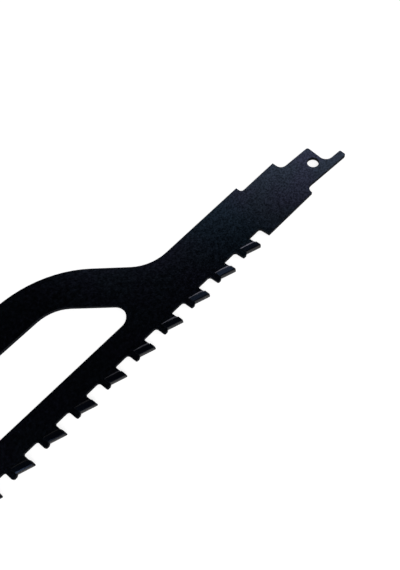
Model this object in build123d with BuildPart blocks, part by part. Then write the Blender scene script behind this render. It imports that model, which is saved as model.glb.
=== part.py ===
"""A carbide-tipped reciprocating saw blade for brick and block, lying flat on its side.

Millimetres, +Z up. The origin is on the axis of the shank's hole, at the plate's underside.
+X runs along the line of teeth towards the shank's end and +Y runs from the teeth to the spine,
so each drop below is a distance under the hole's axis and each rise is one above it.
"""

import os
from math import cos, radians, sin, tan

from build123d import *

# Plate
plate_thickness = 1.4
blade_length = 305.0

# Shank: its own straight axis goes through the hole and falls towards the tang
shank_cant = 3.5
shank_width = 12.35
shank_hole_diameter = 4.3
shank_step_x = -9.9
shank_step_radius = 2.5
shank_notch_radius = 2.4
tab_reach = 3.55
tab_corner_radius = 0.9
tang_reach = 10.95
tang_width = 2.9
tang_top_radius = 0.6
tang_bottom_radius = 0.8
tang_notch_radius = 3.0

# Neck between the shank and the teeth, and the spine behind it
neck_rise = 11.0
neck_drop = 8.3
neck_step_x = -10.35
spine_step_x = -26.95
spine_step_radius = 1.3
spine_rise = 13.6

# Arm that climbs from the spine to the top rail
arm_start_x = -70.25
arm_angle = 45.55
arm_width = 14.65
arm_foot_radius = 17.5
arm_shoulder_radius = 46.0

# Top rail, nose and window
rail_rise = 42.5
rail_width = 14.8
nose_width = 14.8
nose_top_radius = 16.0
nose_bottom_radius = 3.0
strip_rise = 4.5
window_foot_radius = 4.3
window_shoulder_radius = 16.0
window_nose_radius = 6.0

# Teeth, set out from the shank for as long as they fit, each with its cutting point towards it
tooth_pitch = 12.7
tooth_lean = 7.1
first_point_x = -38.5
gullet_drop = 4.2
gullet_front_radius = 0.5
gullet_heel_radius = 1.1
heel_drop = 8.0
heel_run = 0.8
heel_width = 1.2
heel_radius = 0.55
nose_land = 4.5

# Carbide tips, each brazed in a pocket in its tooth and proud of the plate all round
tip_drop = 9.35
tip_length = 5.9
tip_height = 2.1
tip_thickness = 2.1
tip_overhang = 0.3
tip_point_radius = 0.3
tip_chamfer = 0.3
relief_angle = 18.6

# The most of a side that one rounded corner may take, beside another such corner and alone, and
# how nearly level two points have to be to count as one height
shared_side = 0.49
lone_side = 0.98
same_height = 0.01


def on_shank(along, across):
    """The point this far along the canted shank and across it, from the hole's axis."""
    return Vector(along, across).rotate(Axis.Z, -shank_cant)


def on_shank_edge(x, across):
    """The point at this x on the line along the shank that lies this far across it."""
    cant = radians(shank_cant)
    return Vector(x, across / cos(cant) - x * tan(cant))


def on_arm(y, inset):
    """The point at this y on the line along the arm that lies this far in from its outer edge."""
    climb = radians(arm_angle)
    return Vector(arm_start_x - (y - spine_rise) / tan(climb) - inset / sin(climb), y)


def on_tooth_side(point, drop):
    """The point at this drop on the side of a tooth that goes through a point."""
    return Vector(point.X + (point.Y + drop) * tan(radians(tooth_lean)), -drop)


def radius_in_corner(corners, index):
    """The radius asked for at a corner, or the most that the two sides beside it leave room for."""
    point, radius = corners[index]
    sides = []
    rooms = []
    for neighbour, neighbour_radius in (corners[index - 1], corners[(index + 1) % len(corners)]):
        side = neighbour - point
        sides.append(side)
        rooms.append(side.length * (shared_side if neighbour_radius else lone_side))
    return min(radius, min(rooms) * tan(radians(sides[0].get_angle(sides[1])) / 2))


def rounded_face(corners):
    """A flat face with corners of (point, radius), where a radius of 0 is a sharp corner."""
    with BuildSketch() as face:
        with BuildLine():
            Polyline(*[point for point, _ in corners], close=True)
        make_face()
        for index, (point, radius) in enumerate(corners):
            if radius:
                corner = face.vertices().sort_by_distance(point)[0]
                fillet(corner, radius_in_corner(corners, index))
    return face.sketch


# Tip, drawn with its cutting point at x = 0, and the heel of steel behind it
backwards = Vector(-1, 0).rotate(Axis.Z, -relief_angle)
up_the_lean = Vector(0, 1).rotate(Axis.Z, tooth_lean)
tip_rise = up_the_lean * (tip_height / cos(radians(tooth_lean + relief_angle)))
tip_point = Vector(0, -tip_drop)
tip_tail = tip_point + backwards * tip_length
tip_face = rounded_face(
    [(tip_point, tip_point_radius), (tip_tail, 0), (tip_tail + tip_rise, 0), (tip_point + tip_rise, 0)]
)
heel_front = Vector(tip_tail.X - heel_run, -heel_drop)
heel_back = heel_front - Vector(heel_width, 0)

# Gap in front of each tooth: the gullet behind the tooth before, then the tip's pocket
below_teeth = tip_drop + tip_height
previous_heel_back = heel_back + Vector(tooth_pitch, 0)
pocket_front = tip_point + tip_rise + backwards * tip_overhang
gap_face = rounded_face(
    [
        (on_tooth_side(previous_heel_back, below_teeth), 0),
        (on_tooth_side(previous_heel_back, gullet_drop), gullet_heel_radius),
        (on_tooth_side(pocket_front, gullet_drop), gullet_front_radius),
        (pocket_front, 0),
        (tip_tail + tip_rise, 0),
        (tip_tail, 0),
        (heel_front, 0),
        (Vector(heel_front.X, -below_teeth), 0),
    ]
)

# Outline of the plate, with the teeth still a plain strip as deep as their heels
half_shank = shank_width / 2
tang_top = tang_width - half_shank
nose_x = on_shank(tang_reach, tang_top).X - blade_length
first_heel_back = heel_back + Vector(first_point_x, 0)
teeth_behind_first = int((first_heel_back.X - nose_land - nose_x) / tooth_pitch)
tooth_places = [(first_point_x - tooth * tooth_pitch, 0) for tooth in range(teeth_behind_first + 1)]
last_heel_back = first_heel_back - Vector(teeth_behind_first * tooth_pitch, 0)
plate_face = rounded_face(
    [
        (on_shank(tang_reach, -half_shank), tang_bottom_radius),
        (on_shank(tang_reach, tang_top), tang_top_radius),
        (on_shank(tab_reach, tang_top), tang_notch_radius),
        (on_shank(tab_reach, half_shank), tab_corner_radius),
        (on_shank_edge(shank_step_x, half_shank), shank_step_radius),
        (Vector(shank_step_x, neck_rise), 0),
        (Vector(spine_step_x, neck_rise), spine_step_radius),
        (Vector(spine_step_x, spine_rise), 0),
        (on_arm(spine_rise, 0), arm_foot_radius),
        (on_arm(rail_rise, 0), arm_shoulder_radius),
        (Vector(nose_x, rail_rise), nose_top_radius),
        (Vector(nose_x, -gullet_drop), nose_bottom_radius),
        (on_tooth_side(last_heel_back, gullet_drop), gullet_heel_radius),
        (last_heel_back, 0),
        (Vector(first_point_x, -heel_drop), 0),
        (Vector(first_point_x, -neck_drop), 0),
        (Vector(neck_step_x, -neck_drop), 0),
        (on_shank_edge(neck_step_x, -half_shank), shank_notch_radius),
    ]
)

# Window between the toothed strip, the arm, the top rail and the nose
window_top = rail_rise - rail_width
window_nose_x = nose_x + nose_width
window_face = rounded_face(
    [
        (on_arm(strip_rise, arm_width), window_foot_radius),
        (on_arm(window_top, arm_width), window_shoulder_radius),
        (Vector(window_nose_x, window_top), window_nose_radius),
        (Vector(window_nose_x, strip_rise), window_foot_radius),
    ]
)

with BuildPart() as blade_body:
    with BuildSketch() as side_view:
        add(plate_face)
        add(window_face, mode=Mode.SUBTRACT)
        with Locations(*tooth_places):
            add(gap_face, mode=Mode.SUBTRACT)
        heel_level = (-heel_drop - same_height, -heel_drop + same_height)
        heel_corners = side_view.vertices().filter_by_position(Axis.Y, *heel_level)
        fillet(heel_corners, min(heel_radius, shared_side * heel_width))
        Circle(shank_hole_diameter / 2, mode=Mode.SUBTRACT)
    extrude(amount=plate_thickness)
blade_body.part.label = "blade_body"

tip_underside = Plane.XY.offset((plate_thickness - tip_thickness) / 2)
carbide_tips = []
for number, place in enumerate(tooth_places, start=1):
    with BuildPart() as carbide_tip:
        with BuildSketch(tip_underside):
            with Locations(place):
                add(tip_face)
        extrude(amount=tip_thickness)
        cutting_edges = carbide_tip.edges().filter_by(Axis((0, 0, 0), backwards)).sort_by(Axis.Y)[:2]
        chamfer(cutting_edges, tip_chamfer)
    carbide_tip.part.label = f"carbide_tip_{number:02d}"
    carbide_tips.append(carbide_tip.part)

os.makedirs("parts", exist_ok=True)
for piece in [blade_body.part, *carbide_tips]:
    export_step(piece, f"parts/{piece.label}.step")
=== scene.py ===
"""A carbide-tipped reciprocating saw blade lying on a white table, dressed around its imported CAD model.

Metres, in the CAD model's own frame: +X runs along the teeth towards the shank's end, +Y towards the
spine and +Z up. The file follows the blade as it is made: the camera and the table come first, then
the plate with its coating, the tips, the braze that holds them, and the light of the studio.
"""

from math import cos, radians, sin

import bmesh
import bpy
from mathutils import Matrix, Vector


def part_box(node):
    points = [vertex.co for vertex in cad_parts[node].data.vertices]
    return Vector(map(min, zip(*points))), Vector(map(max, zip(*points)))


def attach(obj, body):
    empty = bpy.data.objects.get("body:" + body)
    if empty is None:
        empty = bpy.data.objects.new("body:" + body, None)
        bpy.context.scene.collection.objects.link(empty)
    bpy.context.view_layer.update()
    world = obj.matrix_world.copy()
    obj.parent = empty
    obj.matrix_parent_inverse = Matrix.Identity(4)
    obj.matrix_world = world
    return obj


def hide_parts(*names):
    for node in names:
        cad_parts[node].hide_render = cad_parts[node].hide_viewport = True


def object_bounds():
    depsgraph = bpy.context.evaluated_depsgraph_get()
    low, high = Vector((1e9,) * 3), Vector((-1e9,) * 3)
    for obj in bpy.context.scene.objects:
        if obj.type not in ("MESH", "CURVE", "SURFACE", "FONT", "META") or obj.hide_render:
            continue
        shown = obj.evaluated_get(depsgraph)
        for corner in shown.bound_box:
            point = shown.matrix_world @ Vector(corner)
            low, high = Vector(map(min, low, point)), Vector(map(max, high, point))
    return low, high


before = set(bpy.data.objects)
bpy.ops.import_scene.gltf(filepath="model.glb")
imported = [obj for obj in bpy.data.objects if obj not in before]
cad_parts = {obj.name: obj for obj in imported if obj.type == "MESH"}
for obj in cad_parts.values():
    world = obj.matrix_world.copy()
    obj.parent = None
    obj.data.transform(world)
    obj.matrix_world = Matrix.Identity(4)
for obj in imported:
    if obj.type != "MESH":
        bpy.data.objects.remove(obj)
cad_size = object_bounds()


# Camera: a slightly wide lens held close over the toothed side. It looks steeply down and forward
# to the left, so that the shank is far away and the arm is near, and it is rolled a little.
scene = bpy.context.scene
camera_lens = bpy.data.cameras.new("camera")
camera_lens.sensor_width = 36.0
camera_lens.lens = 34.05
camera_lens.clip_start = 0.01
camera_place = (-0.10699, -0.07019, 0.16648)
heading, look_down, roll = radians(33.22), radians(64.47), radians(-13.13)
aim = Matrix.Rotation(-heading, 4, "Z") @ Matrix.Rotation(radians(90) - look_down, 4, "X")
camera = bpy.data.objects.new("camera", camera_lens)
camera.matrix_world = Matrix.Translation(camera_place) @ aim @ Matrix.Rotation(roll, 4, "Z")
scene.collection.objects.link(camera)
scene.camera = camera
scene.view_settings.view_transform = "Standard"


# Table: a plain sheet of opal white board that is lit from below, so that it stays white all round
# the blade. The tips are thicker than the plate, so the blade rests on them and not on the plate.
class Wire:
    """One output of a node. Arithmetic on it adds the Math nodes that work the answer out."""

    def __init__(self, socket):
        self.socket = socket
        self.tree = socket.id_data

    @classmethod
    def node(cls, tree, kind, settings, sockets, output=0):
        """A new node, its settings made first and its sockets set or linked next; gives one output.

        The stops of a ramp are pairs of a place and a grey, and a list is linked to one socket.
        """
        new = tree.nodes.new(kind)
        for name, value in settings.items():
            if name == "stops":
                stops = new.color_ramp.elements
                while len(stops) < len(value):
                    stops.new(0.5)
                for stop, (place, grey) in zip(stops, value):
                    stop.position = place
                    stop.color = (grey, grey, grey, 1.0)
            else:
                setattr(new, name, value)
        for name, value in sockets.items():
            for each in value if isinstance(value, list) else [value]:
                if isinstance(each, Wire):
                    tree.links.new(each.socket, new.inputs[name])
                else:
                    new.inputs[name].default_value = each
        return cls(new.outputs[output]) if len(new.outputs) else None

    def maths(self, operation, first, second):
        """A Math node on two numbers, either of which may be a wire."""
        return Wire.node(self.tree, "ShaderNodeMath", {"operation": operation}, {0: first, 1: second})

    def __add__(self, other):
        return self.maths("ADD", self, other)

    __radd__ = __add__

    def __sub__(self, other):
        return self.maths("SUBTRACT", self, other)

    def __rsub__(self, other):
        return self.maths("SUBTRACT", other, self)

    def __mul__(self, other):
        return self.maths("MULTIPLY", self, other)

    __rmul__ = __mul__

    def ramp(self, low, high, at_low=0.0, at_high=1.0):
        """Eases from one number to another while this value goes from low to high."""
        settings = {"interpolation_type": "SMOOTHSTEP"}
        sockets = {"Value": self, "From Min": low, "From Max": high, "To Min": at_low, "To Max": at_high}
        return Wire.node(self.tree, "ShaderNodeMapRange", settings, sockets)


def empty_tree(owner):
    """The node tree of a new material or world, with nothing in it yet."""
    owner.use_nodes = True
    owner.node_tree.nodes.clear()
    return owner.node_tree


def new_finish(name):
    """A new material with no surface yet, and the place on the piece that its patterns follow."""
    finish = bpy.data.materials.new(name)
    return finish, Wire.node(empty_tree(finish), "ShaderNodeTexCoord", {}, {}, "Object")


def noise(place, scale, detail, roughness=0.5):
    """A fine unevenness, mostly between 0.3 and 0.7, that is finer at a larger scale."""
    sockets = {"Vector": place, "Scale": scale, "Detail": detail, "Roughness": roughness}
    return Wire.node(place.tree, "ShaderNodeTexNoise", {}, sockets)


def surface(place, sockets):
    """Ends the material that this place belongs to in one surface with these sockets."""
    shader = Wire.node(place.tree, "ShaderNodeBsdfPrincipled", {}, sockets)
    Wire.node(place.tree, "ShaderNodeOutputMaterial", {}, {"Surface": shader})


opal_board, place = new_finish("white_board")
fibres = noise(place, 900.0, detail=3.0)
surface(place, {
    "Base Color": (0.35, 0.35, 0.35, 1.0),
    "Roughness": fibres.ramp(0.3, 0.7, 0.80, 0.90),
    "Specular IOR Level": 0.2,
    "Emission Color": (1.0, 1.0, 1.0, 1.0),
    "Emission Strength": 0.78,
})

half_table = 3.0
rests_at = cad_size[0][2]
corners = [(x * half_table, y * half_table, rests_at) for x, y in ((-1, -1), (1, -1), (1, 1), (-1, 1))]
table_mesh = bpy.data.meshes.new("table")
table_mesh.from_pydata(corners, [], [(0, 1, 2, 3)])
table_mesh.materials.append(opal_board)
table = bpy.data.objects.new("table", table_mesh)
scene.collection.objects.link(table)


# Plate: one piece of spring steel, cut out with its window, shank, hole and teeth, and then given
# a satin black coating. Its faces keep a faint blue sheen and a fine grain; its cut edges are matt.
mm = 0.001
micron = 0.001 * mm


def part_of(vector, axis):
    """The X, Y or Z of a place or a direction."""
    return Wire.node(vector.tree, "ShaderNodeSeparateXYZ", {}, {0: vector}, axis)


def blend(share, first, second):
    """A colour between two others, with this share of the second."""
    sockets = {"Factor": share, 6: first, 7: second}
    return Wire.node(share.tree, "ShaderNodeMix", {"data_type": "RGBA"}, sockets, 2)


def scaled(vector, factor):
    """A colour or a vector times one number."""
    sockets = {0: vector, "Scale": factor}
    return Wire.node(vector.tree, "ShaderNodeVectorMath", {"operation": "SCALE"}, sockets)


def bumps(height, strength, distance):
    """The surface's direction, tilted as if this height stood out from it."""
    sockets = {"Strength": strength, "Distance": distance, "Height": height}
    return Wire.node(height.tree, "ShaderNodeBump", {}, sockets, "Normal")


def drawn_out(place, scale, turn=0.0):
    """The same place, turned about Z and scaled, so that noise on it runs in lines."""
    sockets = {"Vector": place, "Rotation": (0.0, 0.0, turn), "Scale": scale}
    return Wire.node(place.tree, "ShaderNodeMapping", {}, sockets)


violet_black = (0.0375, 0.0430, 0.0745, 1.0)
blue_black = (0.0340, 0.0460, 0.0700, 1.0)
teal_black = (0.0270, 0.0460, 0.0730, 1.0)
coating, place = new_finish("satin_black_coating")
grain = noise(place, 1600.0, detail=2.0, roughness=0.6)
mottle = noise(place, 650.0, detail=2.0)
tint = noise(place, 85.0, detail=1.0, roughness=0.4)
from_shank = part_of(place, "X")
teal_patch = from_shank.ramp(-60 * mm, -46 * mm) * from_shank.ramp(-38 * mm, -26 * mm, 1.0, 0.0)
hue = blend(teal_patch, blend(tint.ramp(0.35, 0.65), violet_black, blue_black), teal_black)
depth = grain.ramp(0.33, 0.67, 0.50, 1.50) * mottle.ramp(0.3, 0.7, 0.95, 1.05)
surface(place, {
    "Base Color": scaled(hue, depth),
    "Metallic": 1.0,
    "Roughness": mottle.ramp(0.3, 0.7, 0.12, 0.18),
    "Normal": bumps(grain, 0.25, 20 * micron),
})

soot_black = (0.003, 0.0035, 0.005, 1.0)
soot_grey = (0.008, 0.0085, 0.011, 1.0)
cut_edge, place = new_finish("matt_black_cut_edge")
streaks = noise(drawn_out(place, (1.0, 1.0, 0.12)), 3200.0, detail=2.0)
surface(place, {
    "Base Color": blend(streaks.ramp(0.35, 0.65), soot_black, soot_grey),
    "Roughness": streaks.ramp(0.3, 0.7, 0.6, 0.8),
    "Specular IOR Level": 0.02,
    "Normal": bumps(streaks, 0.3, 30 * micron),
})


def finished(rough, name):
    """The plain mesh that an object's modifiers make, as a new piece; the rough object goes."""
    bpy.context.view_layer.update()
    mesh = bpy.data.meshes.new_from_object(rough.evaluated_get(bpy.context.evaluated_depsgraph_get()))
    bpy.data.objects.remove(rough)
    merged = bmesh.new()
    merged.from_mesh(mesh)
    bmesh.ops.remove_doubles(merged, verts=merged.verts, dist=0.1 * micron)
    merged.to_mesh(mesh)
    merged.free()
    mesh.set_sharp_from_angle(angle=radians(20))
    level_enough = 0.9999
    for polygon in mesh.polygons:
        polygon.use_smooth = abs(polygon.normal.z) < level_enough
    mesh.name = name
    piece = bpy.data.objects.new(name, mesh)
    scene.collection.objects.link(piece)
    return piece


def edges_broken(solid, name, radius, finishes):
    """A solid as a finished piece whose sharp edges are broken by this radius, in its second finish."""
    rough_mesh = bpy.data.meshes.new(name)
    solid.to_mesh(rough_mesh)
    solid.free()
    for finish in finishes:
        rough_mesh.materials.append(finish)
    rough = bpy.data.objects.new("rough_" + name, rough_mesh)
    scene.collection.objects.link(rough)
    bevel = rough.modifiers.new("broken_edges", "BEVEL")
    bevel.width = radius
    bevel.segments = 2
    bevel.limit_method = "ANGLE"
    bevel.angle_limit = radians(50)
    bevel.use_clamp_overlap = False
    bevel.material = 1
    return finished(rough, name)


plate_edge_break = 0.08 * mm
blank = bmesh.new()
blank.from_mesh(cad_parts["blade_body"].data)
bmesh.ops.remove_doubles(blank, verts=blank.verts, dist=0.5 * micron)
bmesh.ops.dissolve_limit(blank, angle_limit=radians(0.5), verts=blank.verts, edges=blank.edges)
for face in blank.faces:
    face.material_index = 0 if abs(face.normal.z) > 0.5 else 1
plate = edges_broken(blank, "plate", plate_edge_break, [coating, cut_edge])
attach(plate, "root")
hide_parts("blade_body")


# Tips: small bars of sintered carbide, brazed into the teeth and then ground to width and relief.
# They stand a third of a millimetre proud of both faces. Their faces keep the dark coating, thinner
# on some than on others, and the relief that the grinding wheel left last is bare and grey.
relief_degrees, lean_degrees = 18.6, 7.1
relief, lean = radians(relief_degrees), radians(lean_degrees)
backwards = Vector((-cos(relief), sin(relief), 0))
rise = Vector((-sin(lean), cos(lean), 0)) / cos(lean + relief)
tip_length, tip_height, tip_edge_break = 5.9 * mm, 2.1 * mm, 0.04 * mm
point_radius, point_steps = 0.3 * mm, 6

whole_coating = (0.034, 0.049, 0.088, 1.0)
thin_coating = (0.049, 0.072, 0.130, 1.0)
carbide, place = new_finish("dark_ground_carbide")
grinding = noise(drawn_out(place, (0.06, 1.0, 1.0), relief), 5200.0, detail=2.0)
pores = noise(place, 3000.0, detail=2.0)
facing_up = part_of(Wire.node(place.tree, "ShaderNodeNewGeometry", {}, {}, "Normal"), "Z")
wear = Wire.node(place.tree, "ShaderNodeAttribute", {"attribute_name": "thin_coating"}, {}, "Fac")
thin = wear * facing_up.ramp(0.985, 0.998)
unevenness = grinding.ramp(0.3, 0.7, 0.88, 1.12) * pores.ramp(0.3, 0.7, 0.95, 1.05)
surface(place, {
    "Base Color": scaled(blend(thin, whole_coating, thin_coating), unevenness),
    "Metallic": 1.0,
    "Roughness": thin.ramp(0.0, 1.0, 0.15, 0.27),
    "Normal": bumps(grinding, 0.2, 10 * micron),
})

dark_grey = (0.025, 0.025, 0.026, 1.0)
scratch_grey = (0.038, 0.038, 0.040, 1.0)
bare_relief, place = new_finish("bare_ground_relief")
scratches = noise(drawn_out(place, (0.1, 0.1, 1.0)), 6000.0, detail=2.0)
surface(place, {
    "Base Color": blend(scratches.ramp(0.3, 0.7), dark_grey, scratch_grey),
    "Roughness": scratches.ramp(0.3, 0.7, 0.45, 0.6),
    "Specular IOR Level": 0.05,
})


def ground_tip(node):
    """A tip as a stack of its outline, which draws in at the relief as each face rolls over."""
    low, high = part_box(node)
    tail_top = Vector((low.x, high.y, 0))
    top_side = [tail_top - backwards * tip_length, tail_top]
    relief_side = [tail_top - rise * tip_height]
    heart = Vector((high.x - point_radius, low.y + point_radius, 0))
    whole_turn = 90 + lean_degrees + relief_degrees
    for step in range(point_steps, -1, -1):
        turn = radians(lean_degrees - whole_turn * step / point_steps)
        relief_side.append(heart + Vector((cos(turn), sin(turn), 0)) * point_radius)
    rolled = [(0.55 * mm, 0.0), (0.18 * mm, 0.07 * mm), (0.0, 0.22 * mm)]
    levels = [(inset, low.z + drop) for inset, drop in rolled]
    levels += [(inset, high.z - drop) for inset, drop in reversed(rolled)]
    solid = bmesh.new()
    rings = []
    for inset, level in levels:
        outline = [corner + rise * inset for corner in relief_side] + top_side
        rings.append([solid.verts.new((corner.x, corner.y, level)) for corner in outline])
    solid.faces.new(rings[0][::-1])
    solid.faces.new(rings[-1])
    coated, cut, bare = range(3)
    up_the_relief = (coated, bare, bare, bare, coated)
    for finish, lower, upper in zip(up_the_relief, rings, rings[1:]):
        for side in range(len(lower)):
            wall = solid.faces.new((lower[side - 1], lower[side], upper[side], upper[side - 1]))
            wall.material_index = finish if side == 1 else cut
    solid.normal_update()
    return solid


# By the tip's number from the shank: 0 is a whole coating, as on all the others, and 1 the thinnest
worn_thin = {1: 0.1, 2: 1.0, 3: 0.75, 7: 0.3, 10: 0.5, 11: 0.2, 15: 0.7, 18: 0.3}
tip_nodes = sorted(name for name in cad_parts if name.startswith("carbide_tip_"))
for number, node in enumerate(tip_nodes, start=1):
    finishes = [carbide, cut_edge, bare_relief]
    tip = edges_broken(ground_tip(node), f"tip_{number:02d}", tip_edge_break, finishes)
    tip_wear = tip.data.attributes.new("thin_coating", "FLOAT", "POINT")
    tip_wear.data.foreach_set("value", [worn_thin.get(number, 0.0)] * len(tip.data.vertices))
    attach(tip, "root")
    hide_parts(node)


# Braze: a thin bead of silver solder that ran out between each tip's back and its pocket, on both
# faces. It is level beside the tip and hollow beyond, and thins out towards the tail. The coating
# over it is thin. Its colour is painted brighter towards the shank, a painted sheen that follows
# the fade that the plate mirrors.
dull_silver = (0.10, 0.10, 0.13, 1.0)
bright_silver = (0.24, 0.24, 0.29, 1.0)
braze_metal, place = new_finish("braze_under_thin_coating")
flow = noise(place, 1400.0, detail=3.0)
# painted sheen: the braze's colour is scaled up towards the shank, where the plate's mirrored fade is
# brightest
painted_sheen_towards_shank = part_of(place, "X").ramp(-128 * mm, -22 * mm, 0.04, 1.10)
surface(place, {
    "Base Color": scaled(blend(flow.ramp(0.3, 0.7), dull_silver, bright_silver), painted_sheen_towards_shank),
    "Metallic": 1.0,
    "Roughness": flow.ramp(0.3, 0.7, 0.30, 0.42),
    "Normal": bumps(flow, 0.3, 20 * micron),
})

bead_tree = bpy.data.node_groups.new("braze_beads", "GeometryNodeTree")
socket_ids = {}
for name, kind in (
    ("Path", "Geometry"), ("Section", "Object"), ("Tooth Pitch", "Float"), ("Teeth", "Int"),
    ("Plate Thickness", "Float"), ("Bead Width", "Float"), ("Bead Height", "Float"),
    ("Unevenness", "Float"), ("Seed", "Int"), ("Braze", "Material"),
):
    socket = bead_tree.interface.new_socket(name, in_out="INPUT", socket_type="NodeSocket" + kind)
    socket_ids[name] = socket.identifier
bead_tree.interface.new_socket("Beads", in_out="OUTPUT", socket_type="NodeSocketGeometry")


def bead_node(kind, settings, sockets, output=0):
    """A node of the tree that makes the beads."""
    return Wire.node(bead_tree, kind, settings, sockets, output)


def given(name):
    """One of the named inputs that the beads are made from."""
    return bead_node("NodeGroupInput", {}, {}, name)


path = bead_node("GeometryNodeMeshToCurve", {}, {"Mesh": given("Path")})
path = bead_node("GeometryNodeResampleCurve", {"mode": "LENGTH"}, {"Curve": path, "Length": 0.25 * mm})
along = bead_node("GeometryNodeSplineParameter", {}, {}, "Factor")
thickness = along.ramp(0.0, 0.10, 0.60, 1.0) * along.ramp(0.35, 1.0, 1.0, 0.50)
section = bead_node("GeometryNodeObjectInfo", {}, {"Object": given("Section")}, "Geometry")
section = bead_node("GeometryNodeMeshToCurve", {}, {"Mesh": section})
width_and_height = {"X": given("Bead Width"), "Y": given("Bead Height"), "Z": 1.0}
bead_size = bead_node("ShaderNodeCombineXYZ", {}, width_and_height)
section = bead_node("GeometryNodeTransform", {}, {"Geometry": section, "Scale": bead_size})
upper = bead_node("GeometryNodeCurveToMesh", {}, {
    "Curve": path, "Profile Curve": section, "Scale": thickness, "Fill Caps": True})
mirror_shift = bead_node("ShaderNodeCombineXYZ", {}, {"Z": given("Plate Thickness")})
lower = bead_node("GeometryNodeTransform", {}, {
    "Geometry": upper, "Translation": mirror_shift, "Scale": (1.0, 1.0, -1.0)})
lower = bead_node("GeometryNodeFlipFaces", {}, {"Mesh": lower})
one_tooth = bead_node("GeometryNodeJoinGeometry", {}, {"Geometry": [upper, lower]})
to_next_tooth = bead_node("ShaderNodeCombineXYZ", {}, {"X": 0.0 - given("Tooth Pitch")})
teeth = bead_node("GeometryNodeMeshLine", {"mode": "OFFSET"}, {
    "Count": given("Teeth"), "Offset": to_next_tooth})
beads = bead_node("GeometryNodeInstanceOnPoints", {}, {"Points": teeth, "Instance": one_tooth})
beads = bead_node("GeometryNodeRealizeInstances", {}, {"Geometry": beads})
anywhere = bead_node("GeometryNodeInputPosition", {}, {})
wander = bead_node("ShaderNodeTexNoise", {"noise_dimensions": "4D"}, {
    "Vector": anywhere, "W": given("Seed"), "Scale": 700.0, "Detail": 2.0}, "Color")
wander = bead_node("ShaderNodeVectorMath", {"operation": "SUBTRACT"}, {0: wander, 1: (0.5, 0.5, 0.5)})
wander = scaled(wander, given("Unevenness"))
beads = bead_node("GeometryNodeSetPosition", {}, {"Geometry": beads, "Offset": wander})
beads = bead_node("GeometryNodeSetShadeSmooth", {}, {"Geometry": beads})
beads = bead_node("GeometryNodeSetMaterial", {}, {"Geometry": beads, "Material": given("Braze")})
bead_node("NodeGroupOutput", {}, {"Beads": beads})


def bare_lines(name, points, sides):
    """An object of points joined by lines, with no faces."""
    mesh = bpy.data.meshes.new(name)
    mesh.from_pydata(points, sides, [])
    lines = bpy.data.objects.new(name, mesh)
    scene.collection.objects.link(lines)
    return lines


bead_width, bead_height, level_part, front_gap = 0.42 * mm, 0.30 * mm, 0.5, 0.3 * mm
plate_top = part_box("blade_body")[1].z
first_tip, second_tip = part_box(tip_nodes[0]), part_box(tip_nodes[1])
path_end = Vector((first_tip[0].x, first_tip[1].y, plate_top)) + rise * level_part * bead_width
path_start = path_end - backwards * (tip_length - front_gap)
braze_path = bare_lines("rough_braze", [path_start, path_end], [(0, 1)])

# The section in shares of the bead's width and height, with its hollow drawn in towards one corner.
# It is drawn upside down, because the sweep along the path turns it over.
hollow_steps, hollow_corner, sunk = 6, 0.18, 0.1
outline = [(-level_part, -sunk), (-level_part, 1.0)]
for step in range(hollow_steps + 1):
    share = step / hollow_steps
    drawn_in = 2 * hollow_corner * share * (1 - share)
    outline.append((drawn_in + share * share, (1 - share) ** 2 + drawn_in))
outline.append((1.0, -sunk))
sides = [(corner, (corner + 1) % len(outline)) for corner in range(len(outline))]
braze_section = bare_lines("braze_section", [(across, -up, 0) for across, up in outline], sides)

beads_made = braze_path.modifiers.new("beads", "NODES")
beads_made.node_group = bead_tree
for name, value in {
    "Section": braze_section,
    "Tooth Pitch": first_tip[1].x - second_tip[1].x,
    "Teeth": len(tip_nodes),
    "Plate Thickness": plate_top,
    "Bead Width": bead_width,
    "Bead Height": bead_height,
    "Unevenness": 0.06 * mm,
    "Seed": 7,
    "Braze": braze_metal,
}.items():
    beads_made[socket_ids[name]] = value
braze = finished(braze_path, "braze_beads")
bpy.data.objects.remove(braze_section)
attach(braze, "root")


# Studio: a bright band round the room up to head height, and a dim ceiling, which the plate mirrors
# as its fade from slate to black. A black flag hangs before the band's upper left, and three weak
# soft boxes stand at the sides and behind the camera.
studio = bpy.data.worlds.new("studio")
scene.world = studio
direction = Wire.node(empty_tree(studio), "ShaderNodeTexCoord", {}, {}, "Generated")
height = part_of(direction, "Z")
sideways = part_of(direction, "X")
band_slope, slopes_about, flag_darkness = 0.05, 0.42, 0.97
walls = Wire.node(direction.tree, "ShaderNodeValToRGB", {"stops": [
    (0.0, 0.85), (0.735, 0.95), (0.775, 0.92), (0.800, 0.66), (0.824, 0.30),
    (0.853, 0.075), (0.875, 0.027), (0.920, 0.015), (1.0, 0.030),
]}, {"Fac": height + band_slope * (sideways - slopes_about)})
flag = sideways.ramp(0.03, 0.24, 1.0, 0.0) * height.ramp(0.58, 0.70) * height.ramp(0.87, 0.91, 1.0, 0.0)
walls = scaled(walls, 1.0 - flag_darkness * flag)
room = Wire.node(direction.tree, "ShaderNodeBackground", {}, {"Color": walls, "Strength": 1.0})
Wire.node(direction.tree, "ShaderNodeOutputWorld", {}, {"Surface": room})

blade_middle = (Vector(cad_size[0]) + Vector(cad_size[1])) / 2


def soft_box(name, bearing, elevation, distance, size, watts):
    """A square lamp that faces the blade from this bearing, in degrees clockwise from +Y, and elevation."""
    lamp = bpy.data.lights.new(name, "AREA")
    lamp.shape = "SQUARE"
    lamp.size = size
    lamp.energy = watts
    swing = Matrix.Rotation(-radians(bearing), 3, "Z")
    lift = Matrix.Rotation(radians(elevation), 3, "X")
    toward = swing @ lift @ Vector((0, 1, 0))
    box = bpy.data.objects.new(name, lamp)
    box.location = blade_middle + toward * distance
    box.rotation_euler = toward.to_track_quat("Z", "Y").to_euler()
    scene.collection.objects.link(box)


soft_box("left_soft_box", bearing=300, elevation=42, distance=1.1, size=0.6, watts=1.3)
soft_box("right_soft_box", bearing=125, elevation=42, distance=1.1, size=0.6, watts=1.8)
soft_box("rear_soft_box", bearing=214, elevation=54, distance=1.1, size=1.0, watts=6.0)
